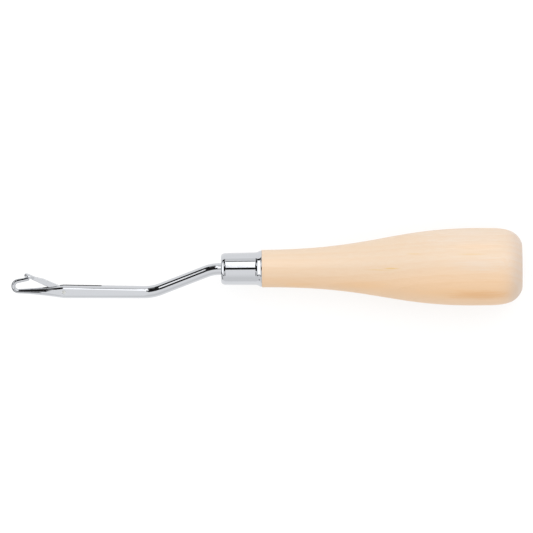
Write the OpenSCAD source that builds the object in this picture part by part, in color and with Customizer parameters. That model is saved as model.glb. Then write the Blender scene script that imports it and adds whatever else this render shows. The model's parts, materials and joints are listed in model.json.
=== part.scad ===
// Latch hook for pulling cut yarn through canvas: a turned wooden handle, a
// drawn ferrule, a bent steel shank that ends in an open hook, and a latch
// that swings on a cross rivet to close the hook.
// Units are millimetres and degrees. The handle's axis is X and its flat butt
// face is centred on the origin. The tool lies on its side: the hook is towards
// -X and opens to +Y, and the rivet that the latch swings on stands along Z.

/* [Handle] */
// Length of the bare wood, from the butt face to the ferrule
handle_len = 84; // [78:0.5:110]
// Diameter at the fullest place
belly_dia = 25; // [23.5:0.5:30]
// Distance from the butt face to the fullest place
belly_back = 14.3; // [12:0.1:18]
// How far the full belly's line carries on towards the neck
belly_reach = 28.8; // [20:0.1:32]
// Diameter of the neck beside the ferrule
neck_dia = 12.1; // [11.9:0.1:14]
// How far the slim neck's line carries on towards the belly
neck_reach = 36.4; // [25:0.1:38]
// Diameter of the flat on the butt
butt_dia = 14.8; // [10:0.1:16]
// How far the belly's line carries on towards the butt
butt_reach = 7.8; // [4:0.1:10]
// How far the butt's line carries on before it rounds into the side
butt_lead = 5.5; // [3:0.1:6]
// Slope of the butt's line where it leaves the flat
butt_slope = 70; // [60:1:85]

/* [Ferrule] */
// Length of the ferrule, from the wood's shoulder to its closed front face
ferrule_len = 13.2; // [10:0.1:18]
// Outer diameter at the front, before the corner is rounded
ferrule_front_dia = 10.3; // [9.8:0.05:10.5]
// Outer diameter just ahead of the flared rim
ferrule_rear_dia = 10.55; // [10.5:0.05:11.1]
// Length of the flared rim
flare_len = 2.2; // [1.5:0.1:3]
// Step from the flared rim out to the wood
flare_step = 0.12; // [0.05:0.01:0.2]
// Thickness of the ferrule's metal
ferrule_wall = 0.5; // [0.4:0.05:0.7]
// Outer radius of the ferrule's front corner
ferrule_round = 1.0; // [0.8:0.1:1.5]

/* [Shank] */
// Diameter of the steel rod
rod_dia = 3.85; // [3.5:0.05:4.5]
// Length of the tang, from the ferrule's front face back into the handle
tang_len = 40; // [25:1:55]
// Length of the point on the tang's end
tang_point = 2.5; // [1:0.1:4]
// Diameter of the flat on the point
tang_tip_dia = 1; // [0.5:0.1:2]
// Straight rod that shows between the ferrule and the first bend
exit_len = 0.58; // [0.3:0.01:5]
// Angle of the rod's slope against the handle's axis
slope_angle = 21; // [12:0.5:30]
// Radius of the first bend, at the rod's middle
first_bend_r = 12; // [6:0.5:20]
// Straight length of the slope, between the two bends
slope_len = 15.5; // [8:0.1:25]
// Radius of the second bend, at the rod's middle
second_bend_r = 14.5; // [6:0.5:20]
// Angle by which the front stretch rises towards the tip
front_rise = 1.1; // [0:0.1:5]
// Straight length of the front stretch, from the second bend to the taper
front_len = 26.4; // [22:0.1:40]
// Height of the front stretch where the taper starts
front_height = 4.35; // [4.1:0.05:4.8]
// Width there, over the sides that are pressed flat
front_width = 3.6; // [3.2:0.05:3.8]

/* [Hook] */
// Length of the taper, from the front stretch to the foot of the hook's bend
taper_len = 14.3; // [11:0.1:17]
// How far the taper's outline hollows in at mid-length
taper_hollow = 0.2; // [0:0.01:0.3]
// Diameter of the hook's wire through the bend
hook_wire_dia = 1.45; // [1.3:0.05:1.8]
// Inner radius of the hook's bend
hook_inner_r = 0.85; // [0.7:0.05:1.3]
// Straight length of the hook's upper arm, to the middle of its round end
arm_len = 3.3; // [2.5:0.1:4.5]
// Angle by which the arm rises towards its end
arm_rise = 12; // [3:0.5:15]
// Diameter of the arm's round end
arm_tip_dia = 1.3; // [1.1:0.05:1.5]

/* [Latch] */
// Distance from the start of the taper back to the latch's pivot
pivot_back = 0.45; // [0.3:0.05:2]
// Thickness of the latch's blade
latch_thick = 1.0; // [0.7:0.05:1.2]
// Diameter of the latch's eye
eye_dia = 2.2; // [1.9:0.05:2.4]
// Distance from the pivot to the highest place on the blade's back
blade_back_at = 6.8; // [5:0.1:7.5]
// Height of the back there, over the pivot's line
blade_back_rise = 1.2; // [0.9:0.05:1.3]
// How far the back carries on level past that place and before the spoon
blade_back_reach = 2; // [0.5:0.1:3]
// Distance from the pivot to the end of the lower edge's slope up from the eye
blade_keel_at = 6; // [4:0.1:7]
// Depth of the lower edge there, below the pivot's line
blade_keel_drop = 0.55; // [0.4:0.05:1]
// Height of the blade's back beside the spoon
neck_rise = 0.68; // [0.4:0.02:0.75]
// Depth of the blade's lower edge beside the spoon
neck_drop = 0.38; // [0.3:0.02:0.6]
// Length of the spoon
spoon_len = 2.8; // [2.4:0.1:3.4]
// How far the blade's end reaches in under the spoon
spoon_root = 0.35; // [0.2:0.05:0.6]
// Width of the spoon
spoon_width = 2.6; // [2:0.1:3]
// Thickness of the spoon's metal in the middle
spoon_thick = 0.6; // [0.4:0.05:0.7]
// Radius of the spoon's rounded back
spoon_back_r = 7; // [3:0.1:9]
// Radius of the spoon's dished inside
spoon_dish_r = 2.6; // [2:0.1:4]
// Depth of the dish below its rim
spoon_dish_depth = 0.28; // [0.15:0.01:0.35]
// Angle by which the spoon's nose is turned down
spoon_tilt = 4.5; // [0:0.5:8]
// Height of the dish's inside over the pivot's line
spoon_seat = -0.05; // [-0.2:0.01:0.1]
// How far the saw slot runs on past the blade at both ends
slot_run_out = 1.2; // [0.8:0.1:1.6]

/* [Latch rivet] */
// Diameter of the rivet that the latch swings on
rivet_dia = 1.2; // [1:0.05:1.3]
// Height of the dome on the rivet's ends
rivet_dome = 0.06; // [0.02:0.01:0.12]

/* [Fits] */
// Gap all round the tang in the handle, and round the rod in the ferrule
tang_gap = 0.05; // [0.02:0.01:0.1]
// Empty depth of the hole beyond the tang's point
tang_end_gap = 0.5; // [0.2:0.1:2]
// Gap between the ferrule and the handle's tenon
ferrule_gap = 0.03; // [0.01:0.01:0.06]
// Gap round the rivet where the shank grips it
rivet_gap = 0.01; // [0.005:0.005:0.02]
// Gap round the rivet in the latch's eye
eye_gap = 0.05; // [0.02:0.01:0.08]
// Gap on each side of the latch in the slot
side_gap = 0.075; // [0.04:0.005:0.12]
// Gap between the eye and the slot's floor
floor_gap = 0.12; // [0.08:0.01:0.3]
// Gap left where the latch comes to rest, closed and open
stop_gap = 0.06; // [0.04:0.01:0.1]

/* [Hidden] */
$fn = 64;
// Steps in each curve of the handle's outline
curve_steps = 24;
// How far a cut runs past the metal that it goes through
past = 1;
// How much thicker the rod is round a bend, and how far the straights' ends
// reach into it
bend_swell = 0.01;
bend_reach = 0.05;
// How far the sides' pressing starts clear of the round rod
side_clear = 0.15;
// Degrees between the points of a small drawn round, and facets of the wide
// circle that the saw cuts
round_step = 10;
saw_facets = 180;

rod_r = rod_dia / 2;
rivet_r = rivet_dia / 2;
eye_r = eye_dia / 2;
tip_r = arm_tip_dia / 2;
wire_r = hook_wire_dia / 2;
hook_bend_r = hook_inner_r + wire_r;

// The handle and the ferrule, measured from the butt face towards the hook
ferrule_face = handle_len + ferrule_len;
ferrule_bore_r = ferrule_front_dia / 2 - ferrule_wall;
flare_r = neck_dia / 2 - flare_step;
tenon_r = ferrule_bore_r - ferrule_gap;
tenon_len = ferrule_len - ferrule_wall - ferrule_gap;

// Places along the rod's middle line, as [x, y]
bend_in = [-ferrule_face - exit_len, 0];
slope_in = bend_in - first_bend_r * [sin(slope_angle), 1 - cos(slope_angle)];
slope_out = slope_in - slope_len * [cos(slope_angle), sin(slope_angle)];
front_in = slope_out - second_bend_r
    * [sin(slope_angle) + sin(front_rise), cos(front_rise) - cos(slope_angle)];
pivot = front_in + (front_len - pivot_back) * [-cos(front_rise), sin(front_rise)];

// From here on places are [ahead, up], measured from the pivot along the
// front stretch towards the tip, and square to it on the side that opens
function taper_r(t) = front_height / 2 * (1 - t) + wire_r * t - 4 * taper_hollow * t * (1 - t);
function taper_top(ahead) = taper_r((ahead - pivot_back) / taper_len);
function rod_top(back) = rod_r + (front_height / 2 - rod_r) * (1 - (back - pivot_back) / front_len);

// The middle of the arm's round end
arm_tip = [
    pivot_back + taper_len + hook_bend_r * sin(arm_rise) - arm_len * cos(arm_rise),
    hook_bend_r * (1 + cos(arm_rise)) + arm_len * sin(arm_rise)];

// The closed latch rests its dish on the arm's end
seat_drop = tip_r + stop_gap - spoon_seat;
spoon_at = sqrt(pow(norm(arm_tip), 2) - pow(seat_drop, 2));
closed_angle = atan2(arm_tip[1], arm_tip[0]) + asin(seat_drop / norm(arm_tip));
dish_top = tip_r + stop_gap;
back_top = dish_top + spoon_thick;
neck_at = spoon_at - spoon_len / 2;

// The saw slot runs in an arc through three places: its two ends on the
// rod's top and its floor under the pivot
keel_ahead = blade_keel_at * cos(closed_angle) + blade_keel_drop * sin(closed_angle);
slot_front = [keel_ahead + slot_run_out, taper_top(keel_ahead + slot_run_out)];
slot_rear = [-neck_at - slot_run_out, rod_top(neck_at + slot_run_out)];
slot_floor = [0, -eye_r - floor_gap];
slot_width = latch_thick + 2 * side_gap;
saw_centre = circle_centre(slot_front, slot_floor, slot_rear);
saw_r = norm(slot_floor - saw_centre);

function square_of(p) = p[0] * p[0] + p[1] * p[1];
function circle_centre(a, b, c) =
    let (d = 2 * (a[0] * (b[1] - c[1]) + b[0] * (c[1] - a[1]) + c[0] * (a[1] - b[1])))
    [(square_of(a) * (b[1] - c[1]) + square_of(b) * (c[1] - a[1]) + square_of(c) * (a[1] - b[1])) / d,
     (square_of(a) * (c[0] - b[0]) + square_of(b) * (a[0] - c[0]) + square_of(c) * (b[0] - a[0])) / d];

// A smooth curve from the first point to the last, drawn by the two between
function curve_point(p, t) = pow(1 - t, 3) * p[0] + 3 * pow(1 - t, 2) * t * p[1]
    + 3 * (1 - t) * t * t * p[2] + pow(t, 3) * p[3];
function curve(p) = [for (i = [0 : curve_steps]) curve_point(p, i / curve_steps)];

// Stands a shape that was drawn along +Z on the handle's axis, towards -X
module along_axis() {
    rotate([0, -90, 0]) children();
}

// Puts a shape's origin at a place [x, y] of the part, with its -X end turned
// towards +Y by an angle
module at(place, turn = 0) {
    translate([place[0], place[1], 0]) rotate([0, 0, -turn]) children();
}

// A round bar bent about the origin, from one angle to another
module bent_bar(bend_r, bar_r, from, to) {
    rotate([0, 0, from])
        rotate_extrude(angle = to - from) translate([bend_r, 0]) circle(r = bar_r);
}

// The front stretch's own space, with the pivot at its origin
module front_space() {
    at(pivot, front_rise) children();
}

// The wooden handle: belly, neck, front tenon and the blind hole for the tang
module handle() {
    butt_curve = [
        [butt_dia / 2, 0],
        [butt_dia / 2 + butt_lead * sin(butt_slope), butt_lead * cos(butt_slope)],
        [belly_dia / 2, belly_back - butt_reach],
        [belly_dia / 2, belly_back]];
    neck_curve = [
        [belly_dia / 2, belly_back],
        [belly_dia / 2, belly_back + belly_reach],
        [neck_dia / 2, handle_len - neck_reach],
        [neck_dia / 2, handle_len]];
    hole_end = ferrule_face - tang_len - tang_end_gap;
    color("#f2d8b6")
        along_axis()
            difference() {
                union() {
                    rotate_extrude()
                        polygon(concat([[0, handle_len], [0, 0]], curve(butt_curve), curve(neck_curve)));
                    cylinder(r = tenon_r, h = handle_len + tenon_len);
                }
                translate([0, 0, hole_end]) cylinder(r = rod_r + tang_gap, h = tang_len + past);
            }
}

// The ferrule: a drawn cup with a closed front, a round corner and a flared rim
module ferrule() {
    rim_curve = [
        [ferrule_rear_dia / 2, flare_len],
        [ferrule_rear_dia / 2, flare_len / 2],
        [flare_r, flare_len / 3],
        [flare_r, 0]];
    front_r = ferrule_front_dia / 2;
    corner = [for (a = [0 : round_step : 90])
        [front_r - ferrule_round * (1 - cos(a)), ferrule_len - ferrule_round * (1 - sin(a))]];
    color("#d3d6d9")
        along_axis()
            translate([0, 0, handle_len])
                difference() {
                    rotate_extrude()
                        polygon(concat([[0, ferrule_len], [0, 0]], [for (i = [curve_steps : -1 : 0])
                            curve_point(rim_curve, i / curve_steps)], corner));
                    translate([0, 0, -past]) cylinder(r = ferrule_bore_r, h = past + ferrule_len - ferrule_wall);
                    cylinder(r = rod_r + tang_gap, h = ferrule_len + past);
                }
}

// The tang, the two bends and the slope between them
module bent_rod() {
    straight = tang_len + exit_len + bend_reach;
    bar_r = rod_r + bend_swell;
    at([tang_len - ferrule_face, 0])
        along_axis()
            rotate_extrude()
                polygon([
                    [0, 0], [tang_tip_dia / 2, 0], [rod_r, tang_point], [rod_r, straight], [0, straight]]);
    at(bend_in - [0, first_bend_r]) bent_bar(first_bend_r, bar_r, 90, 90 + slope_angle);
    at(slope_in, -slope_angle)
        translate([bend_reach, 0, 0])
            along_axis() cylinder(r = rod_r, h = slope_len + 2 * bend_reach);
    at(front_in + second_bend_r * [sin(front_rise), cos(front_rise)])
        bent_bar(second_bend_r, bar_r, 270 - front_rise, 270 + slope_angle);
}

// The front stretch and the hook's taper, with their sides pressed flat
module front_bar() {
    side_in = rod_r + side_clear;
    side_out = front_width / 2;
    reach = taper_len + past;
    taper = [for (i = [0 : curve_steps]) [taper_r(i / curve_steps), taper_len * i / curve_steps]];
    translate([-pivot_back, 0, 0])
        intersection() {
            along_axis()
                rotate_extrude()
                    polygon(concat(
                        [[0, -front_len - bend_reach], [rod_r, -front_len - bend_reach], [rod_r, -front_len]],
                        taper,
                        [[wire_r, taper_len + bend_reach], [0, taper_len + bend_reach]]));
            rotate([90, 0, 0])
                linear_extrude(2 * front_height, center = true)
                    polygon([[front_len + past, side_in], [0, side_out], [-reach, side_out],
                             [-reach, -side_out], [0, -side_out], [front_len + past, -side_in]]);
        }
}

// The hook's bend, and its upper arm with the round end
module hook() {
    round_end = [for (a = [0 : round_step : 90]) [tip_r * cos(a), arm_len + tip_r * sin(a)]];
    translate([-pivot_back - taper_len, hook_bend_r, 0]) {
        bent_bar(hook_bend_r, wire_r + bend_swell, 90 + arm_rise, 270);
        rotate([0, 0, arm_rise - 90])
            translate([-hook_bend_r, 0, 0])
                rotate([-90, 0, 0])
                    rotate_extrude()
                        polygon(concat([[0, -bend_reach], [wire_r, -bend_reach]], round_end));
    }
}

// The shank: one rod from the tang to the hook, slotted and drilled for the latch
module shank() {
    color("#cdd1d5") {
        difference() {
            union() {
                bent_rod();
                front_space() {
                    front_bar();
                    hook();
                }
            }
            front_space() {
                translate([-saw_centre[0], saw_centre[1], 0])
                    cylinder(r = saw_r, h = slot_width, center = true, $fn = saw_facets);
                cylinder(r = rivet_r + rivet_gap, h = front_height + past, center = true);
            }
        }
    }
}

// The spoon, with the arm's round end at its origin
module spoon() {
    outline = [for (a = [0 : round_step : 360 - round_step])
        [spoon_len / 2 * cos(a), spoon_width / 2 * sin(a)]];
    intersection() {
        translate([0, dish_top - spoon_dish_depth, 0])
            rotate([-90, 0, 0])
                linear_extrude(spoon_thick + spoon_dish_depth) polygon(outline);
        difference() {
            translate([0, back_top - spoon_back_r, 0]) sphere(r = spoon_back_r);
            translate([0, dish_top - spoon_dish_r, 0]) sphere(r = spoon_dish_r);
        }
    }
}

// The latch, closed: its blade runs from the eye to the spoon
module latch() {
    back = curve([
        [-blade_back_at, blade_back_rise],
        [-blade_back_at - blade_back_reach, blade_back_rise],
        [-neck_at + blade_back_reach, neck_rise],
        [-neck_at, neck_rise]]);
    blade = concat([[0, -eye_r], [0, eye_r]], back, [
        [-neck_at - spoon_root, neck_rise / 2],
        [-neck_at, -neck_drop],
        [-blade_keel_at, -blade_keel_drop]]);
    color("#c4c8cc")
        front_space()
            rotate([0, 0, -closed_angle])
                difference() {
                    union() {
                        cylinder(r = eye_r, h = latch_thick, center = true);
                        linear_extrude(latch_thick, center = true) polygon(blade);
                        translate([-spoon_at, -seat_drop, 0]) rotate([0, 0, spoon_tilt]) spoon();
                    }
                    cylinder(r = rivet_r + eye_gap, h = latch_thick + past, center = true);
                }
}

// The cross rivet that the latch swings on, with a low dome at each end
module latch_rivet() {
    half = front_width / 2;
    dome = [for (a = [0 : round_step : 90]) [rivet_r * cos(a), half + rivet_dome * sin(a)]];
    color("#b9bdc1")
        front_space() {
            rotate_extrude() polygon(concat([[0, 0], [rivet_r, 0]], dome));
            mirror([0, 0, 1]) rotate_extrude() polygon(concat([[0, 0], [rivet_r, 0]], dome));
        }
}

handle();
ferrule();
shank();
latch();
latch_rivet();
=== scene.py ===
import json
from math import cos, pi, radians, sin

import bpy
from mathutils import Matrix, Vector


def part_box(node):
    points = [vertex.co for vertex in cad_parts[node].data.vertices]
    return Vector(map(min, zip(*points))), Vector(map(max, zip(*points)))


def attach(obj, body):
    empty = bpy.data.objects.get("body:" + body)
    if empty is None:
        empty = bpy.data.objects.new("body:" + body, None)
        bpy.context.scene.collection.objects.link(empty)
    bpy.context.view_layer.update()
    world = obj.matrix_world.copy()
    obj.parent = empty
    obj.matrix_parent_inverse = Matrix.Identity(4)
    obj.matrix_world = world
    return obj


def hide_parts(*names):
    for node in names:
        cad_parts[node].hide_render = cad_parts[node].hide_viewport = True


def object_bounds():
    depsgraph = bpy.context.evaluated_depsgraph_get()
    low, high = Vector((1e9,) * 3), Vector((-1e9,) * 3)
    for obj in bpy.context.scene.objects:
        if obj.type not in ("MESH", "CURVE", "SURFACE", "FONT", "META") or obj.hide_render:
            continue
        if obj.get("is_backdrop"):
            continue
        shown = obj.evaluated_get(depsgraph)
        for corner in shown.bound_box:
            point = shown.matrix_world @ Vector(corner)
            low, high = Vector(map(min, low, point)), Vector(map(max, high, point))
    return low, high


MM = 0.001
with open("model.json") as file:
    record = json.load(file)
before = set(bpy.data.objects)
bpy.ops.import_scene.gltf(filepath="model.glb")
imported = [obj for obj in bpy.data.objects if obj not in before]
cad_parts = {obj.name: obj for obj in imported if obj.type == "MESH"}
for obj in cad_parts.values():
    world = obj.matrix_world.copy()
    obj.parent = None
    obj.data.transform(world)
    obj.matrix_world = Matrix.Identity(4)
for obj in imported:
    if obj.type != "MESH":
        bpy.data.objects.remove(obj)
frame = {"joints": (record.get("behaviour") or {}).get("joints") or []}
cad_low, cad_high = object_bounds()

# The camera: a long lens that looks down on the tool from 11 degrees off the
# rivet's line, on the side that the hook opens to, as the photograph does.
LENS = 720 * MM
SENSOR = 36 * MM
SEEN_WIDTH = 172.05 * MM
LEAN = radians(11)
ROLL = radians(0.51)
AIM = Vector((-82.5 * MM, 0, 0))
AIM_LIFT = 0.67 * MM

towards_camera = Vector((0, sin(LEAN), cos(LEAN)))
level_up = Vector((0, cos(LEAN), -sin(LEAN)))
camera_up = level_up * cos(ROLL) + Vector((1, 0, 0)) * sin(ROLL)
camera_right = camera_up.cross(towards_camera)
camera_place = AIM + level_up * AIM_LIFT + towards_camera * (SEEN_WIDTH * LENS / SENSOR)
camera_turn = Matrix((camera_right, camera_up, towards_camera)).transposed().to_euler()

bpy.ops.object.camera_add(location=camera_place, rotation=camera_turn)
camera = bpy.context.object
camera.name = "camera"
camera.data.lens = LENS / MM
camera.data.sensor_width = SENSOR / MM
bpy.context.scene.camera = camera
bpy.context.scene.view_settings.view_transform = "Standard"


# The handle: one piece of pale, close-grained wood, turned between centres,
# sanded fine and given a thin clear satin lacquer. A tenon at its front end
# fills the ferrule, and a blind hole takes the shank's tang.
HANDLE_LEN = 84 * MM
BELLY_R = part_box("handle")[1].z
BELLY_BACK = 14.3 * MM
BELLY_REACH = 28.8 * MM
NECK_R = 6.05 * MM
NECK_REACH = 36.4 * MM
BUTT_R = 7.4 * MM
BUTT_RINGS = (0, 0.5, 0.9)
BUTT_REACH = 7.8 * MM
BUTT_LEAD = 5.5 * MM
BUTT_SLOPE = radians(70)
TENON_R = 4.62 * MM
TENON_END = -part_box("handle")[0].x
TANG_HOLE_R = 1.975 * MM
TANG_HOLE_END = 56.7 * MM
CURVE_STEPS = 40
TURNED_STEPS = 128
TURNED_ANGLE = 35
SAME_PLACE = 0.001 * MM


def curve(points, steps):
    """A smooth curve from the first point to the last, drawn by the two between."""
    a, b, c, d = (Vector(p) for p in points)
    return [a * (1 - t) ** 3 + b * 3 * (1 - t) ** 2 * t + c * 3 * (1 - t) * t * t + d * t ** 3
            for t in (i / steps for i in range(steps + 1))]


def start_line(name, place):
    """Starts a mesh in edit mode with one vertex, selected, at a place."""
    bpy.ops.object.select_all(action="DESELECT")
    bpy.ops.mesh.primitive_plane_add(size=MM)
    piece = bpy.context.object
    piece.name = name
    piece.data.name = name
    bpy.ops.object.mode_set(mode="EDIT")
    bpy.ops.mesh.select_mode(type="VERT")
    bpy.ops.mesh.select_all(action="SELECT")
    bpy.ops.mesh.merge(type="CENTER")
    bpy.ops.transform.translate(value=place)
    return piece


def draw_line(points):
    """Draws on from the selected vertex, which is at the first point, through the others."""
    for here, there in zip(points, points[1:]):
        bpy.ops.mesh.extrude_region_move(TRANSFORM_OT_translate={"value": there - here})


def leave_mesh():
    """Turns all faces outwards and leaves edit mode."""
    bpy.ops.mesh.select_all(action="SELECT")
    bpy.ops.mesh.normals_make_consistent(inside=False)
    bpy.ops.object.mode_set(mode="OBJECT")


def turned(name, profile):
    """Turns a profile of (distance from the butt's face, radius) about the handle's axis."""
    points = [Vector((-along, 0, radius)) for along, radius in profile]
    piece = start_line(name, points[0])
    draw_line(points)
    bpy.ops.mesh.select_all(action="SELECT")
    bpy.ops.mesh.spin(steps=TURNED_STEPS, angle=2 * pi, center=(0, 0, 0), axis=(1, 0, 0))
    bpy.ops.mesh.select_all(action="SELECT")
    bpy.ops.mesh.remove_doubles(threshold=SAME_PLACE)
    bpy.ops.mesh.dissolve_degenerate(threshold=0.1 * SAME_PLACE)
    leave_mesh()
    return piece


def pick(piece):
    """Selects one piece alone."""
    bpy.ops.object.select_all(action="DESELECT")
    piece.select_set(True)
    bpy.context.view_layer.objects.active = piece


def modify(piece, kind, **settings):
    """Gives a piece a modifier with its settings, and applies it."""
    modifier = piece.modifiers.new(kind.lower(), kind)
    for name, value in settings.items():
        setattr(modifier, name, value)
    pick(piece)
    bpy.ops.object.modifier_apply(modifier=modifier.name)


def select_where(piece, test):
    """Selects the faces whose centre and normal pass a test, in edit mode."""
    bpy.ops.object.mode_set(mode="EDIT")
    bpy.ops.mesh.select_mode(type="FACE")
    bpy.ops.mesh.select_all(action="DESELECT")
    bpy.ops.object.mode_set(mode="OBJECT")
    for face in piece.data.polygons:
        face.select = test(face.center, face.normal)
    bpy.ops.object.mode_set(mode="EDIT")


def smoothed(piece, angle, flat=None):
    """Shades a piece smooth, but for edges sharper than an angle and faces that pass a test."""
    pick(piece)
    bpy.ops.object.shade_smooth_by_angle(angle=radians(angle))
    if flat:
        select_where(piece, flat)
        bpy.ops.mesh.faces_shade_flat()
        bpy.ops.object.mode_set(mode="OBJECT")
    modify(piece, "WEIGHTED_NORMAL", keep_sharp=True)


butt_curve = curve([
    (0, BUTT_R),
    (BUTT_LEAD * cos(BUTT_SLOPE), BUTT_R + BUTT_LEAD * sin(BUTT_SLOPE)),
    (BELLY_BACK - BUTT_REACH, BELLY_R),
    (BELLY_BACK, BELLY_R)], CURVE_STEPS)
neck_curve = curve([
    (BELLY_BACK, BELLY_R),
    (BELLY_BACK + BELLY_REACH, BELLY_R),
    (HANDLE_LEN - NECK_REACH, NECK_R),
    (HANDLE_LEN, NECK_R)], 2 * CURVE_STEPS)
handle = turned(
    "turned_handle",
    [(0, BUTT_R * share) for share in BUTT_RINGS]
    + [tuple(p) for p in butt_curve + neck_curve[1:]]
    + [(HANDLE_LEN, TENON_R), (TENON_END, TENON_R), (TENON_END, TANG_HOLE_R),
       (TANG_HOLE_END, TANG_HOLE_R), (TANG_HOLE_END, 0)])
smoothed(handle, TURNED_ANGLE)


def linear(value):
    """Turns an sRGB hex colour into the linear one that a shader takes."""
    parts = [int(value[i:i + 2], 16) / 255 for i in (1, 3, 5)]
    return [c / 12.92 if c <= 0.04045 else ((c + 0.055) / 1.055) ** 2.4 for c in parts] + [1]


def start_material(name):
    """A new material, its tree, and its shader, on whose own sockets constants are set."""
    material = bpy.data.materials.new(name)
    material.use_nodes = True
    return material, material.node_tree, material.node_tree.nodes["Principled BSDF"]


def add(tree, kind, settings=None, inputs=None):
    """Adds a node, with its settings, and its inputs as values or as links from other nodes."""
    new = tree.nodes.new(kind)
    for name, value in (settings or {}).items():
        setattr(new, name, value)
    for key, value in (inputs or {}).items():
        if isinstance(value, bpy.types.NodeSocket):
            tree.links.new(value, new.inputs[key])
        else:
            new.inputs[key].default_value = value
    return new


# Basswood under a thin satin lacquer, which gives it a soft, even sheen. Its
# colour is painted cream on the side of the hook's mouth, which the key light
# faces, and a warmer honey on the other side, as painted shade. Its rings and
# fibres hardly show, and a few short streaks stand out. Real fibres are about
# 0.05 mm wide, and they are drawn coarser so that they show.
WOOD_CREAM_LIT_SIDE = "#d3bea7"
WOOD_HONEY_GRAIN_AND_SHADE = "#e3c09b"
WOOD_RING = "#d2a877"
WOOD_WARM = "#e3b98a"
WOOD_PINK = "#d4c4b4"
WOOD_GOLD = "#d0aa58"
WOOD_DEEP = "#d8a36b"
# The butt's grey is partly the end grain's own and partly painted shade.
WOOD_END_GRAIN_AND_SHADE = "#c9b9ac"
LIT_CREAM_EDGE = 6 * MM
SHADED_HONEY_EDGE = -8 * MM
ZONE_WIDTH = 9 * MM
ZONE_WANDER = 10 * MM
HEART_PLACE = (0, -41 * MM, 30 * MM)
RING_WIDTH = 2.6 * MM
RING_WANDER = 2.5 * RING_WIDTH
RING_PALE = 0.2 * RING_WIDTH
RING_DARK = 0.98 * RING_WIDTH
RING_SHOW = 0.11
RING_SHOW_BUTT = 0.07
FIBRE_WIDTH = 0.35 * MM
FIBRE_SHOW = 0.22
FIBRE_DEPTH = 0.03 * MM
GRAIN_STRETCH = 1 / 20
RAGGED = 0.3
LACQUER = 0.35
LACQUER_SATIN = 0.4

# The streaks and bands that stand out: the middle and half sizes of the part
# of the blank that each takes, in millimetres, then its colour and strength.
STREAKS = [
    ((-17, 11, 5), (24, 5, 12), WOOD_PINK, 0.75),
    ((-15, 8.4, 9), (13, 1.6, 9), WOOD_HONEY_GRAIN_AND_SHADE, 0.28),
    ((-13.5, 3.4, 12), (14, 3.4, 9), WOOD_PINK, 0.55),
    ((-19, -6.6, 10), (24, 3.0, 9), WOOD_WARM, 0.6),
    ((-13, -7.4, 10), (15, 2.4, 9), WOOD_DEEP, 0.6),
    ((-52, -4.5, 9), (14, 2.4, 9), WOOD_WARM, 0.5),
    ((-72, -4.6, 4), (9, 1.4, 9), WOOD_WARM, 0.6),
    ((-16.1, 6.2, 11), (6.5, 0.42, 9), WOOD_GOLD, 0.35),
    ((-34.7, 6.2, 9.5), (4.0, 0.42, 9), WOOD_GOLD, 0.3),
    ((-46.5, 1.0, 9.5), (6.5, 0.4, 9), WOOD_GOLD, 0.3),
    ((-42.4, 1.6, 10), (3.6, 0.42, 9), WOOD_GOLD, 0.65)]

# A Mix node's sockets for colours: the share of the second, the two, the result.
SHARE, FIRST, SECOND, MIXED = 0, 6, 7, 2

wood, tree, shader = start_material("lacquered_basswood")
place = add(tree, "ShaderNodeTexCoord").outputs["Object"]
along_grain = add(tree, "ShaderNodeMapping", inputs={
    "Vector": place, "Scale": (GRAIN_STRETCH, 1, 1)}).outputs["Vector"]
zone_noise = add(tree, "ShaderNodeTexNoise", inputs={
    "Vector": along_grain, "Scale": 1 / ZONE_WIDTH,
    "Detail": 2.0, "Roughness": 0.4}).outputs["Fac"]

# Painted shade: the side away from the key light, towards -Y, is mixed to a warmer honey, with
# an edge that wanders along the grain.
across = add(tree, "ShaderNodeSeparateXYZ", inputs={"Vector": place}).outputs["Y"]
wandering_side = add(tree, "ShaderNodeMath", {"operation": "MULTIPLY_ADD"}, {
    0: zone_noise, 1: ZONE_WANDER, 2: across}).outputs["Value"]
painted_shade_side = add(tree, "ShaderNodeMapRange", {"interpolation_type": "SMOOTHSTEP"}, {
    "Value": wandering_side, "From Min": LIT_CREAM_EDGE + ZONE_WANDER / 2,
    "From Max": SHADED_HONEY_EDGE + ZONE_WANDER / 2}).outputs["Result"]
colour = add(tree, "ShaderNodeMix", {"data_type": "RGBA"}, {
    SHARE: painted_shade_side, FIRST: linear(WOOD_CREAM_LIT_SIDE), SECOND: linear(WOOD_HONEY_GRAIN_AND_SHADE)}).outputs[MIXED]

fibre_noise = add(tree, "ShaderNodeTexNoise", inputs={
    "Vector": along_grain, "Scale": 1 / FIBRE_WIDTH,
    "Detail": 3.0, "Roughness": 0.6}).outputs["Fac"]
ragged = add(tree, "ShaderNodeMapRange", inputs={
    "Value": fibre_noise, "From Min": 0.3, "From Max": 0.7,
    "To Min": -RAGGED, "To Max": RAGGED}).outputs["Result"]
for middle, half_size, streak_colour, strength in STREAKS:
    inside = add(tree, "ShaderNodeMapping", {"vector_type": "TEXTURE"}, {
        "Vector": place, "Location": Vector(middle) * MM,
        "Scale": Vector(half_size) * MM}).outputs["Vector"]
    reach = add(tree, "ShaderNodeVectorMath", {"operation": "LENGTH"}, {
        0: inside}).outputs["Value"]
    ragged_reach = add(tree, "ShaderNodeMath", {"operation": "ADD"}, {
        0: reach, 1: ragged}).outputs["Value"]
    streak = add(tree, "ShaderNodeMapRange", {"interpolation_type": "SMOOTHSTEP"}, {
        "Value": ragged_reach, "From Min": 1.0, "From Max": 0.1,
        "To Max": strength}).outputs["Result"]
    colour = add(tree, "ShaderNodeMix", {"data_type": "RGBA"}, {
        SHARE: streak, FIRST: colour, SECOND: linear(streak_colour)}).outputs[MIXED]

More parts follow.
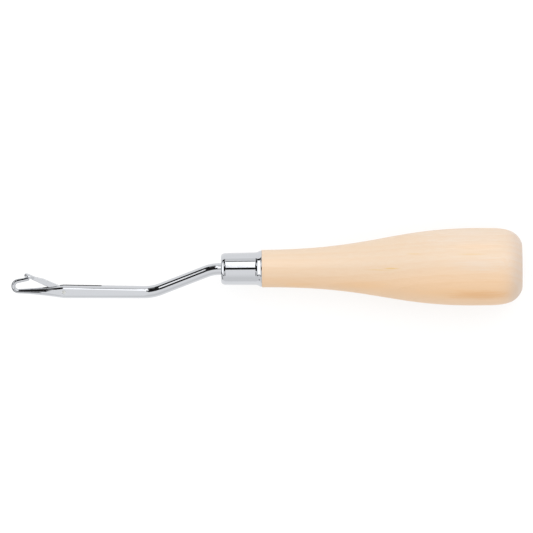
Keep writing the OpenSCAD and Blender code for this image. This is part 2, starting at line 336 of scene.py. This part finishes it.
# The butt's end grain drinks the lacquer, so it is greyer and its rings are
# plainer there. Part of that grey is painted shade on the butt's face.
faces_butt = add(tree, "ShaderNodeSeparateXYZ", inputs={
    "Vector": add(tree, "ShaderNodeTexCoord").outputs["Normal"]}).outputs["X"]
butt_grain_and_shade = add(tree, "ShaderNodeMapRange", {"interpolation_type": "SMOOTHSTEP"}, {
    "Value": faces_butt, "From Min": 0.02, "From Max": 0.7, "To Max": 0.85}).outputs["Result"]
colour = add(tree, "ShaderNodeMix", {"data_type": "RGBA"}, {
    SHARE: butt_grain_and_shade, FIRST: colour, SECOND: linear(WOOD_END_GRAIN_AND_SHADE)}).outputs[MIXED]

from_heart = add(tree, "ShaderNodeVectorMath", {"operation": "SUBTRACT"}, {
    0: along_grain, 1: HEART_PLACE}).outputs["Vector"]
heart_distance = add(tree, "ShaderNodeVectorMath", {"operation": "LENGTH"}, {
    0: from_heart}).outputs["Value"]
ring_place = add(tree, "ShaderNodeMath", {"operation": "MULTIPLY_ADD"}, {
    0: zone_noise, 1: RING_WANDER, 2: heart_distance}).outputs["Value"]
in_ring = add(tree, "ShaderNodeMath", {"operation": "WRAP"}, {
    0: ring_place, 1: RING_WIDTH, 2: 0.0}).outputs["Value"]
ring_show = add(tree, "ShaderNodeMath", {"operation": "MULTIPLY_ADD"}, {
    0: butt_grain_and_shade, 1: RING_SHOW_BUTT, 2: RING_SHOW}).outputs["Value"]
rings = add(tree, "ShaderNodeMapRange", {"interpolation_type": "SMOOTHERSTEP"}, {
    "Value": in_ring, "From Min": RING_PALE, "From Max": RING_DARK,
    "To Max": ring_show}).outputs["Result"]
colour = add(tree, "ShaderNodeMix", {"data_type": "RGBA"}, {
    SHARE: rings, FIRST: colour, SECOND: linear(WOOD_RING)}).outputs[MIXED]

fibres = add(tree, "ShaderNodeMapRange", inputs={
    "Value": fibre_noise, "From Min": 0.35, "From Max": 0.75,
    "To Max": FIBRE_SHOW}).outputs["Result"]
colour = add(tree, "ShaderNodeMix", {"data_type": "RGBA"}, {
    SHARE: fibres, FIRST: colour, SECOND: linear(WOOD_RING)}).outputs[MIXED]
tree.links.new(colour, shader.inputs["Base Color"])
fibre_bump = add(tree, "ShaderNodeBump", inputs={
    "Height": fibre_noise, "Strength": 0.12, "Distance": FIBRE_DEPTH}).outputs["Normal"]
tree.links.new(fibre_bump, shader.inputs["Normal"])
shader.inputs["Roughness"].default_value = 0.5
shader.inputs["IOR"].default_value = 1.5
shader.inputs["Coat Weight"].default_value = LACQUER
shader.inputs["Coat Roughness"].default_value = LACQUER_SATIN

handle.data.materials.append(wood)
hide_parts("handle")
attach(handle, "tool")


# The ferrule: a cup drawn from thin steel, bright plated, and pressed over the
# handle's tenon. Its closed front has a round corner and a hole for the rod,
# and its open rim is flared to meet the wood.
FERRULE_END = -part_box("ferrule")[0].x
FERRULE_FRONT_R = 5.15 * MM
FERRULE_REAR_R = 5.275 * MM
FLARE_LEN = 2.2 * MM
FLARE_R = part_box("ferrule")[1].z
FLARE_STEPS = 16
RIM_ROUND = 0.08 * MM
RIM_STEPS = 3
FERRULE_WALL = 0.5 * MM
FERRULE_ROUND = 1.0 * MM
FERRULE_NOSE = 1.5 * MM
NOSE_STEPS = 12
FERRULE_BORE_R = FERRULE_FRONT_R - FERRULE_WALL
FERRULE_HOLE_R = 1.975 * MM
HOLE_ROUND = 0.15 * MM
HOLE_STEPS = 4


def quarter(centre, radii, start, steps):
    """A quarter of an ellipse about a centre, from a start angle down by 90 degrees."""
    angles = [start - pi / 2 * i / steps for i in range(steps + 1)]
    return [(centre[0] + radii[0] * cos(a), centre[1] + radii[1] * sin(a)) for a in angles]


flare = curve([
    (HANDLE_LEN + RIM_ROUND, FLARE_R),
    (HANDLE_LEN + FLARE_LEN / 3, FLARE_R),
    (HANDLE_LEN + FLARE_LEN / 2, FERRULE_REAR_R),
    (HANDLE_LEN + FLARE_LEN, FERRULE_REAR_R)], FLARE_STEPS)
rim = quarter((HANDLE_LEN + RIM_ROUND, FLARE_R - RIM_ROUND),
              (RIM_ROUND, RIM_ROUND), pi, RIM_STEPS)
nose = quarter((FERRULE_END - FERRULE_NOSE, FERRULE_FRONT_R - FERRULE_ROUND),
               (FERRULE_NOSE, FERRULE_ROUND), pi / 2, NOSE_STEPS)
hole_edge = quarter((FERRULE_END - HOLE_ROUND, FERRULE_HOLE_R + HOLE_ROUND),
                    (HOLE_ROUND, HOLE_ROUND), 0, HOLE_STEPS)
ferrule = turned(
    "drawn_ferrule",
    [(HANDLE_LEN, FERRULE_BORE_R)] + rim[:-1] + [tuple(p) for p in flare] + nose + hole_edge
    + [(FERRULE_END - FERRULE_WALL, FERRULE_HOLE_R),
       (FERRULE_END - FERRULE_WALL, FERRULE_BORE_R), (HANDLE_LEN, FERRULE_BORE_R)])
smoothed(ferrule, TURNED_ANGLE)

# Bright plate on drawn steel: a mirror with a faint haze from handling, which
# the eye sees as slightly softer edges on its reflections.
PLATE = "#caccd0"
HAZE_SIZE = 4 * MM

plate, tree, shader = start_material("bright_plated_steel")
place = add(tree, "ShaderNodeTexCoord").outputs["Object"]
haze_noise = add(tree, "ShaderNodeTexNoise", inputs={
    "Vector": place, "Scale": 1 / HAZE_SIZE, "Detail": 4.0, "Roughness": 0.6}).outputs["Fac"]
haze = add(tree, "ShaderNodeMapRange", inputs={
    "Value": haze_noise, "From Min": 0.3, "From Max": 0.7,
    "To Min": 0.03, "To Max": 0.06}).outputs["Result"]
tree.links.new(haze, shader.inputs["Roughness"])
shader.inputs["Base Color"].default_value = linear(PLATE)
shader.inputs["Metallic"].default_value = 1.0

ferrule.data.materials.append(plate)
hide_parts("ferrule")
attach(ferrule, "tool")


# The shank: one plated steel rod with a tang inside the handle, two bends, a
# front stretch whose sides are pressed flat, and a taper turned round into the
# open hook. A slot for the latch is sawn into the side that the hook opens to.
ROD_R = 1.925 * MM
TANG_LEN = 40 * MM
TANG_POINT = 2.5 * MM
TANG_TIP_R = 0.5 * MM
EXIT_LEN = 0.58 * MM
SLOPE = radians(21)
FIRST_BEND_R = 12 * MM
SLOPE_LEN = 15.68 * MM
SECOND_BEND_R = 14.5 * MM
FRONT_RISE = radians(1.1)
FRONT_LEN = 25.95 * MM
FRONT_START_R = 2.0 * MM
FRONT_R = 2.19 * MM
TAPER_RISE = radians(0.75)
TAPER_LEN = 14.48 * MM
TAPER_HOLLOW = 0.2 * MM
WIRE_R = 0.725 * MM
HOOK_BEND_R = 1.68 * MM
HOOK_SHARE = 0.5
ARM_LEN = 3.3 * MM
ARM_RISE = radians(12)
TIP_R = 0.65 * MM
TIP_POLE = 0.02
RING_POINTS = 64
BEND_STEPS = 14
TAPER_STEPS = 28
HOOK_STEPS = 24
ARM_STEPS = 6
TIP_STEPS = 6

# The rod's stations, from the tang's point on: the middle, the heading towards
# the hook as an angle up from -X, and the radius.
stations = []


def ahead(heading):
    """The way that a heading points."""
    return Vector((-cos(heading), sin(heading), 0))


def square_to(heading):
    """The way that points up from a heading."""
    return Vector((sin(heading), cos(heading), 0))


def go(distance, radius):
    """Adds the station that lies straight ahead at a distance."""
    middle, heading, _ = stations[-1]
    stations.append((middle + ahead(heading) * distance, heading, radius))


def go_round(bend_r, turn, radii):
    """Adds a station for each radius round a bend, which turns up for a positive angle."""
    middle, heading, _ = stations[-1]
    side = 1 if turn > 0 else -1
    centre = middle + square_to(heading) * bend_r * side
    for i, radius in enumerate(radii):
        there = heading + turn * (i + 1) / len(radii)
        stations.append((centre - square_to(there) * bend_r * side, there, radius))


def change(start, end, steps):
    """The radii that lead in even steps from one to another."""
    return [start + (end - start) * (i + 1) / steps for i in range(steps)]


stations.append((Vector((TANG_LEN - FERRULE_END, 0, 0)), 0.0, TANG_TIP_R))
go(TANG_POINT, ROD_R)
go(TANG_LEN - TANG_POINT - EXIT_LEN, ROD_R)
go(2 * EXIT_LEN, ROD_R)
go_round(FIRST_BEND_R, -SLOPE, [ROD_R] * BEND_STEPS)
go(SLOPE_LEN, ROD_R)
go_round(SECOND_BEND_R, SLOPE + FRONT_RISE, change(ROD_R, FRONT_START_R, BEND_STEPS))
front_start = stations[-1][0]
go(FRONT_LEN, FRONT_R)
taper_start = stations[-1][0]
stations[-1] = (taper_start, TAPER_RISE, FRONT_R)
for i in range(TAPER_STEPS):
    t = (i + 1) / TAPER_STEPS
    go(TAPER_LEN / TAPER_STEPS, FRONT_R * (1 - t) + WIRE_R * t - 4 * TAPER_HOLLOW * t * (1 - t))
arm_r = WIRE_R + (TIP_R - WIRE_R) * HOOK_SHARE
go_round(HOOK_BEND_R, pi - ARM_RISE, change(WIRE_R, arm_r, HOOK_STEPS))
for radius in change(arm_r, TIP_R, ARM_STEPS):
    go(ARM_LEN / ARM_STEPS, radius)
tip_middle, tip_heading, _ = stations[-1]
for i in range(TIP_STEPS):
    angle = pi / 2 * (i + 1) / TIP_STEPS
    stations.append((tip_middle + ahead(tip_heading) * TIP_R * sin(angle), tip_heading,
                     TIP_R * max(cos(angle), TIP_POLE)))

bpy.ops.object.select_all(action="DESELECT")
bpy.ops.mesh.primitive_circle_add(
    vertices=RING_POINTS, radius=stations[0][2], fill_type="NGON",
    location=stations[0][0], rotation=(0, pi / 2, 0))
shank = bpy.context.object
shank.name = "plated_shank"
shank.data.name = "plated_shank"
bpy.ops.object.transform_apply(location=True, rotation=True, scale=True)
bpy.ops.object.mode_set(mode="EDIT")
bpy.ops.mesh.select_all(action="SELECT")
for here, there in zip(stations, stations[1:]):
    bpy.ops.mesh.extrude_region_move(TRANSFORM_OT_translate={"value": there[0] - here[0]})
    if there[1] != here[1]:
        bpy.ops.transform.rotate(
            value=there[1] - here[1], orient_axis="Z", center_override=there[0])
    if there[2] != here[2]:
        bpy.ops.transform.resize(value=(there[2] / here[2],) * 3, center_override=there[0])
leave_mesh()
shank.data.materials.append(plate)

# The press leaves a flat on each side of the front stretch. It fades out in the
# second bend and along the taper.
FLAT_HALF_WIDTH = 1.875 * MM
FLAT_BACK_HALF = 1.825 * MM
FLAT_FADE = 3 * MM
FLAT_FADE_RISE = 0.25 * MM
TAPER_FLAT_LEAD = 0.3 * MM
TAPER_FLAT_SLOPE = 0.075
TAPER_FLAT_LEN = 7 * MM
DIE_HALF = 6 * MM
DIE_TOP = 3 * MM


def slab(name, outline, rise):
    """Makes a plated solid by filling a closed outline and drawing it out."""
    piece = start_line(name, outline[0])
    piece.data.materials.append(plate)
    draw_line(outline)
    bpy.ops.mesh.select_all(action="SELECT")
    bpy.ops.mesh.remove_doubles(threshold=SAME_PLACE)
    bpy.ops.mesh.select_all(action="SELECT")
    bpy.ops.mesh.edge_face_add()
    bpy.ops.mesh.extrude_region_move(TRANSFORM_OT_translate={"value": rise})
    leave_mesh()
    return piece


def cut_with(piece, cutter, operation="DIFFERENCE"):
    """Cuts a piece with another, or joins the two, and takes the other away."""
    modify(piece, "BOOLEAN", operation=operation, solver="EXACT",
           material_mode="TRANSFER", object=cutter)
    bpy.data.objects.remove(cutter)


taper_flat_end = FLAT_HALF_WIDTH - TAPER_FLAT_SLOPE * (TAPER_FLAT_LEN + TAPER_FLAT_LEAD)
die_face = [
    (front_start.x + FLAT_FADE, FLAT_BACK_HALF + FLAT_FADE_RISE),
    (front_start.x, FLAT_BACK_HALF),
    (taper_start.x + TAPER_FLAT_LEAD, FLAT_HALF_WIDTH),
    (taper_start.x - TAPER_FLAT_LEN, taper_flat_end)]
die_outline = die_face + [
    (die_face[-1][0], DIE_TOP), (die_face[0][0], DIE_TOP), die_face[0]]
flats = []
for side in (1, -1):
    outline = [Vector((x, taper_start.y - DIE_HALF, side * z)) for x, z in die_outline]
    cut_with(shank, slab("die", outline, (0, 2 * DIE_HALF, 0)))
    for here, there in zip(die_face, die_face[1:]):
        outwards = Vector((there[1] - here[1], 0, side * (here[0] - there[0])))
        flats.append(outwards.normalized())

# The slot is sawn with a round blade, so its floor is an arc, and the rivet's
# hole is drilled across it.
PIVOT = Vector(frame["joints"][0]["pos_m"])
SLOT_WIDTH = 1.4 * MM
SAW_R = 16.777 * MM
SAW_BACK = 2.079 * MM
SAW_UP = 15.428 * MM
SAW_STEPS = 256
RIVET_R = 0.6 * MM
RIVET_GAP = 0.01 * MM
DRILL_STEPS = 48
SHANK_ANGLE = 30
ON_FLAT = 0.99999

# The slot's sawn walls are painted far darker than bare steel, as painted shade
# inside the narrow slot. Hardly any plate reaches them, and fine saw marks make
# them look uneven.
SLOT_SHADE_GREY = "#26272a"
SAW_MARK = 0.12 * MM

sawn, tree, shader = start_material("sawn_walls_painted_shade")
place = add(tree, "ShaderNodeTexCoord").outputs["Object"]
saw_marks = add(tree, "ShaderNodeTexNoise", inputs={
    "Vector": place, "Scale": 1 / SAW_MARK, "Detail": 2.0}).outputs["Fac"]
rough_marks = add(tree, "ShaderNodeMapRange", inputs={
    "Value": saw_marks, "To Min": 0.35, "To Max": 0.6}).outputs["Result"]
tree.links.new(rough_marks, shader.inputs["Roughness"])
shader.inputs["Base Color"].default_value = linear(SLOT_SHADE_GREY)
shader.inputs["Metallic"].default_value = 1.0


def bore(piece, radius, depth, place, finish, steps=DRILL_STEPS):
    """Cuts a round hole along Z through a piece, and gives its wall a finish."""
    bpy.ops.object.select_all(action="DESELECT")
    bpy.ops.mesh.primitive_cylinder_add(
        vertices=steps, radius=radius, depth=depth, location=place)
    drill = bpy.context.object
    drill.data.materials.append(finish)
    cut_with(piece, drill)


saw_place = PIVOT - ahead(FRONT_RISE) * SAW_BACK + square_to(FRONT_RISE) * SAW_UP
# The slot's walls take the near-black painted shade.
bore(shank, SAW_R, SLOT_WIDTH, saw_place, sawn, SAW_STEPS)
bore(shank, RIVET_R + RIVET_GAP, 4 * FRONT_R, PIVOT, plate)
smoothed(shank, SHANK_ANGLE,
         lambda centre, normal: any(normal.dot(flat) > ON_FLAT for flat in flats))

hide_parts("shank")
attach(shank, "tool")


# The latch: a thin blade stamped from steel and plated, with an eye for the
# rivet at one end. The other end is pressed out into a small dished spoon,
# which closes over the hook's round end.
LATCH_THICK = 1.0 * MM
EYE_R = 1.1 * MM
EYE_HOLE_R = 0.65 * MM
EYE_ARC = range(-100, 81, 15)
BACK_AT = 6.8 * MM
BACK_RISE = 1.32 * MM
BACK_REACH = 2.0 * MM
BACK_STEPS = 16
KEEL_AT = 6.0 * MM
KEEL_DROP = 0.55 * MM
NECK_AT = 11.02 * MM
NECK_RISE = 0.92 * MM
NECK_DROP = 0.28 * MM
TAIL_AT = 12.1 * MM
TAIL_TOP = 0.62 * MM
TAIL_LOW = 0.35 * MM
CLOSED_ANGLE = radians(22.39)
EDGE_ROUND = 0.12 * MM
EDGE_STEPS = 3
EDGE_ANGLE = radians(50)
LATCH_ANGLE = 40

eye_back = [(EYE_R * cos(radians(a)), EYE_R * sin(radians(a))) for a in EYE_ARC]
blade_back = [tuple(p) for p in curve([
    (-BACK_AT, BACK_RISE),
    (-BACK_AT - BACK_REACH, BACK_RISE),
    (-NECK_AT + BACK_REACH, NECK_RISE),
    (-NECK_AT, NECK_RISE)], BACK_STEPS)]
blade_outline = eye_back + blade_back + [
    (-TAIL_AT, TAIL_TOP), (-TAIL_AT, TAIL_LOW), (-NECK_AT, -NECK_DROP),
    (-KEEL_AT, -KEEL_DROP), eye_back[0]]
outline = [Vector((x, y, -LATCH_THICK / 2)) for x, y in blade_outline]
latch = slab("stamped_latch", outline, (0, 0, LATCH_THICK))
modify(latch, "BEVEL", width=EDGE_ROUND, segments=EDGE_STEPS,
       limit_method="ANGLE", angle_limit=EDGE_ANGLE)

# The spoon starts as a block inside the blade's end. It is drawn out to the
# front through stations of distance from the rivet, underside, top and half
# width, then its underside is dished and all of it is rounded.
SPOON_ROOT = 9.4 * MM
SPOON_ROOT_LEN = 0.4 * MM
SPOON_ROOT_LOW = -0.36 * MM
SPOON_ROOT_HIGH = 0.82 * MM
SPOON_ROOT_HALF = 0.4 * MM
SPOON_STATIONS = [
    (10.2 * MM, -0.24 * MM, 0.86 * MM, 0.46 * MM),
    (10.9 * MM, -0.34 * MM, 0.98 * MM, 0.75 * MM),
    (11.6 * MM, -0.40 * MM, 1.02 * MM, 1.28 * MM),
    (12.5 * MM, -0.42 * MM, 1.06 * MM, 1.45 * MM),
    (13.3 * MM, -0.44 * MM, 1.06 * MM, 1.25 * MM),
    (13.95 * MM, -0.30 * MM, 0.82 * MM, 0.7 * MM)]
SPOON_LEVELS = 3
DISH_BACK = 11.2 * MM
DISH_RIM = 0.3 * MM
DISH_DEPTH = 0.62 * MM
FACING = 0.8

bpy.ops.object.select_all(action="DESELECT")
bpy.ops.mesh.primitive_cube_add(
    size=1, location=(-SPOON_ROOT, (SPOON_ROOT_LOW + SPOON_ROOT_HIGH) / 2, 0),
    scale=(SPOON_ROOT_LEN, SPOON_ROOT_HIGH - SPOON_ROOT_LOW, 2 * SPOON_ROOT_HALF))
spoon = bpy.context.object
spoon.data.materials.append(plate)
bpy.ops.object.transform_apply(location=True, rotation=True, scale=True)
select_where(spoon, lambda centre, normal: normal.x < -FACING)
at, low, high, half = (
    SPOON_ROOT + SPOON_ROOT_LEN / 2, SPOON_ROOT_LOW, SPOON_ROOT_HIGH, SPOON_ROOT_HALF)
for there, next_low, next_high, next_half in SPOON_STATIONS:
    middle = Vector((-there, (next_low + next_high) / 2, 0))
    bpy.ops.mesh.extrude_region_move(TRANSFORM_OT_translate={
        "value": (at - there, middle.y - (low + high) / 2, 0)})
    bpy.ops.transform.resize(
        value=(1, (next_high - next_low) / (high - low), next_half / half),
        center_override=middle)
    at, low, high, half = there, next_low, next_high, next_half
select_where(spoon, lambda centre, normal: normal.y < -FACING and centre.x < -DISH_BACK)
bpy.ops.mesh.inset(thickness=DISH_RIM, depth=0)
bpy.ops.transform.translate(value=(0, DISH_DEPTH, 0))
leave_mesh()
modify(spoon, "SUBSURF", levels=SPOON_LEVELS, render_levels=SPOON_LEVELS)
cut_with(latch, spoon, "UNION")
bore(latch, EYE_HOLE_R, 4 * LATCH_THICK, (0, 0, 0), plate)
bpy.ops.object.mode_set(mode="EDIT")
bpy.ops.mesh.select_all(action="SELECT")
bpy.ops.transform.rotate(value=CLOSED_ANGLE, orient_axis="Z", center_override=(0, 0, 0))
bpy.ops.transform.translate(value=PIVOT)
bpy.ops.object.mode_set(mode="OBJECT")
smoothed(latch, LATCH_ANGLE)

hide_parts("latch")
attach(latch, "latch")


# The latch rivet: a steel pin set across the slot. Its two ends are peened into
# low domes, filed nearly flush with the pressed flats, and plated over.
RIVET_DOME = 0.045 * MM
RIVET_PROUD = 0.05 * MM
RIVET_ANGLE = 40

# A dome's rings, outwards in: the share of the last ring's radius that each has
# and the share of the dome's height that it rises.
DOME_RINGS = [(0.88, 0.5), (0.7, 0.25), (0.45, 0.17), (0.15, 0.08)]

rivet_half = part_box("latch_rivet")[1].z + RIVET_PROUD
bpy.ops.object.select_all(action="DESELECT")
bpy.ops.mesh.primitive_cylinder_add(
    vertices=DRILL_STEPS, radius=RIVET_R, depth=2 * (rivet_half - RIVET_DOME), location=PIVOT)
rivet = bpy.context.object
rivet.name = "dressed_rivet"
rivet.data.name = "dressed_rivet"
bpy.ops.object.transform_apply(location=True, rotation=True, scale=True)
for side in (1, -1):
    select_where(rivet, lambda centre, normal: normal.z * side > FACING)
    for share, rise in DOME_RINGS:
        bpy.ops.mesh.extrude_region_move(TRANSFORM_OT_translate={
            "value": (0, 0, side * RIVET_DOME * rise)})
        bpy.ops.transform.resize(value=(share, share, 1), center_override=PIVOT)
bpy.ops.object.mode_set(mode="OBJECT")
smoothed(rivet, RIVET_ANGLE)

# Thin plate on brushed steel: the file's fine scratches show through and spread
# what it mirrors, so that the end is a small pale spot without sharp edges.
RIVET_GREY = "#e6e7e4"
RIVET_SATIN = 0.4

brushed, _, shader = start_material("brushed_steel")
shader.inputs["Base Color"].default_value = linear(RIVET_GREY)
shader.inputs["Metallic"].default_value = 1.0
shader.inputs["Roughness"].default_value = RIVET_SATIN

rivet.data.materials.append(brushed)
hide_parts("latch_rivet")
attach(rivet, "tool")


# The floor: a plain white acrylic board, lit from below as for a catalogue, so
# that it stays pale and the tool's shadow on it is faint.
FLOOR_SIZE = 4.0
FLOOR_GLOW = 0.66
FLOOR_WHITE = "#9d9d9d"
LIGHT_WHITE = "#ffffff"

bpy.ops.object.select_all(action="DESELECT")
bpy.ops.mesh.primitive_plane_add(size=FLOOR_SIZE, location=(AIM.x, 0, cad_low.z))
floor = bpy.context.object
floor.name = "floor"
acrylic, _, shader = start_material("lit_white_acrylic")
shader.inputs["Base Color"].default_value = linear(FLOOR_WHITE)
shader.inputs["Roughness"].default_value = 0.9
shader.inputs["Specular IOR Level"].default_value = 0.0
shader.inputs["Emission Color"].default_value = linear(LIGHT_WHITE)
shader.inputs["Emission Strength"].default_value = FLOOR_GLOW
floor.data.materials.append(acrylic)
floor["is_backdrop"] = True


# The light: a white room, brighter overhead, and one soft key light from the
# side that the hook opens to.
ROOM_LIGHT = 0.9
OVERHEAD_LIGHT = 1.1
KEY_LIGHT = 0.4 * pi
KEY_SPREAD = radians(70)
KEY_LEAN = radians(-46)

world = bpy.data.worlds.new("white_room")
bpy.context.scene.world = world
world.use_nodes = True
tree = world.node_tree
direction = add(tree, "ShaderNodeTexCoord").outputs["Generated"]
height = add(tree, "ShaderNodeSeparateXYZ", inputs={"Vector": direction}).outputs["Z"]
brightness = add(tree, "ShaderNodeMapRange", {"interpolation_type": "SMOOTHSTEP"}, {
    "Value": height, "From Min": 0.5, "From Max": 1.0,
    "To Min": ROOM_LIGHT, "To Max": OVERHEAD_LIGHT}).outputs["Result"]
tree.links.new(brightness, tree.nodes["Background"].inputs["Strength"])
tree.nodes["Background"].inputs["Color"].default_value = linear(LIGHT_WHITE)

bpy.ops.object.select_all(action="DESELECT")
bpy.ops.object.light_add(type="SUN", rotation=(KEY_LEAN, 0, 0))
key = bpy.context.object
key.name = "key_light"
key.data.energy = KEY_LIGHT
key.data.angle = KEY_SPREAD
key.visible_glossy = False

# What the plate mirrors: over the tool a long softbox in a black frame, beyond
# it black flags and a dim wall for the taper and the hook, a black flag with
# two slits of light for the slope, and a softbox at the far left. They are
# strips of cylinders about the tool's axis, which only mirrored rays see, of
# black felt or, where they shine, of white cloth lit from behind.
CARD_DISTANCE = 1.0
CARD_STEPS = 24
SOFTBOX_LIGHT = 1.8
SLIT_LIGHT = 1.5
DIM_LIGHT = 0.28
CARD_BLACK = "#0b0b0b"


def hang(piece, light):
    """Gives a card its light, if any, and lets only reflections see it."""
    cloth, _, shader = start_material("lit_white_cloth" if light else "black_felt")
    shader.inputs["Base Color"].default_value = linear(CARD_BLACK)
    shader.inputs["Roughness"].default_value = 1.0
    shader.inputs["Emission Color"].default_value = linear(LIGHT_WHITE)
    shader.inputs["Emission Strength"].default_value = light
    piece.data.materials.append(cloth)
    piece.visible_camera = False
    piece.visible_diffuse = False
    piece.visible_shadow = False
    piece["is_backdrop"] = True


def card(name, low, high, left, right, light, behind=0):
    """A card: its edges in degrees from overhead towards +Y, its ends in metres, its light."""
    distance = CARD_DISTANCE + behind
    start = Vector((left, distance * sin(radians(low)), distance * cos(radians(low))))
    piece = start_line(name, start)
    draw_line([start, start + Vector((right - left, 0, 0))])
    bpy.ops.mesh.select_all(action="SELECT")
    bpy.ops.mesh.spin(
        steps=CARD_STEPS, angle=radians(high - low), center=(0, 0, 0), axis=(1, 0, 0))
    bpy.ops.object.mode_set(mode="OBJECT")
    hang(piece, light)


card("softbox", 20, 62, -0.085, 1.2, SOFTBOX_LIGHT)
card("softbox_middle", 20, 62, -0.1275, -0.1025, SOFTBOX_LIGHT)
card("raised_middle", 38, 68, -0.1025, -0.085, SOFTBOX_LIGHT)
card("raised_end", 38, 68, -0.19, -0.1275, SOFTBOX_LIGHT)
card("softbox_frame", 5, 68, -0.36, 1.3, 0, behind=0.02)
card("flag", -8, 62, -0.39, -0.21, 0, behind=0.04)
card("tall_flag", -8, 86, -0.47, -0.39, 0, behind=0.04)
card("low_flag", -42, -14, -0.38, -0.2, 0, behind=0.04)
card("dim_wall", 62, 140, -0.39, -0.21, DIM_LIGHT, behind=0.05)
card("long_flag", -5, 102, -0.64, -0.43, 0, behind=0.06)
card("low_slit", 32, 42, -0.6, -0.4, SLIT_LIGHT)
card("high_slit", 42, 55, -0.6, -0.46, SLIT_LIGHT)
card("side_softbox", -40, 80, -3.6, -0.8, SOFTBOX_LIGHT)
card("side_frame", -47, 96, -3.8, -0.62, 0, behind=0.08)

# One more flag hangs across the tool's axis, beyond the hook, and darkens the
# outer line of its bend.
END_FLAG_AT = -0.2
END_FLAG_SIZE = (0.05, 0.3)

bpy.ops.object.select_all(action="DESELECT")
bpy.ops.mesh.primitive_plane_add(size=1, location=(END_FLAG_AT, 0, 0), rotation=(0, pi / 2, 0))
end_flag = bpy.context.object
end_flag.name = "end_flag"
end_flag.scale = (*END_FLAG_SIZE, 1)
bpy.ops.object.transform_apply(location=True, rotation=True, scale=True)
hang(end_flag, 0)

low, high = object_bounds()
